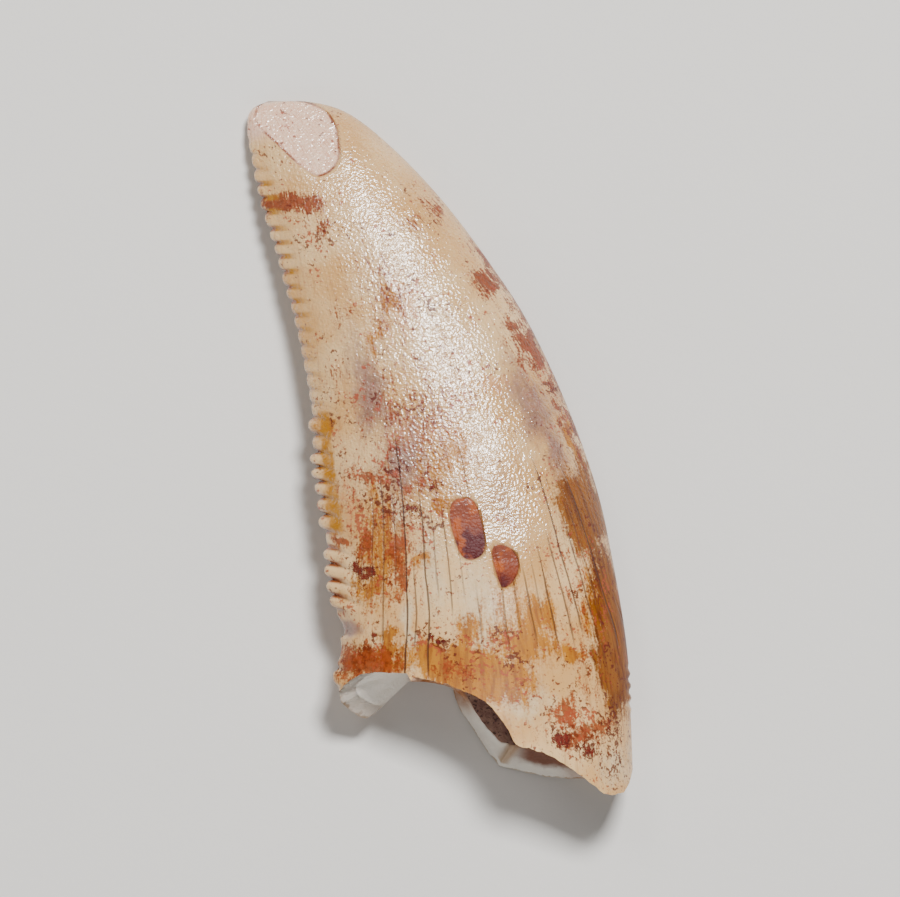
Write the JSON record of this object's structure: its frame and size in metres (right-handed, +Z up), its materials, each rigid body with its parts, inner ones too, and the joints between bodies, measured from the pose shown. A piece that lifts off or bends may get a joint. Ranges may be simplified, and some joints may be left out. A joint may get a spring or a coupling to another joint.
{
  "type": "dromaeosaur tooth",
  "caption": "Fossil theropod tooth crown lying on its flank: recurved, flattened, serrated rear edge, worn tip, broken hollow base.",
  "frame": {"origin": "centre of the tooth's outline seen from above, on the surface that it lies on", "axes": "+Y along the crown towards the tip, +X from the serrated rear edge towards the smooth front edge, +Z up through the flanks"},
  "size_m": [0.009, 0.0164, 0.0034],
  "materials": {
    "enamel": "glossy fossil enamel, stained, over matt dentine"
  },
  "bodies": {
    "root": {"tooth": "enamel"}
  },
  "joints": []
}
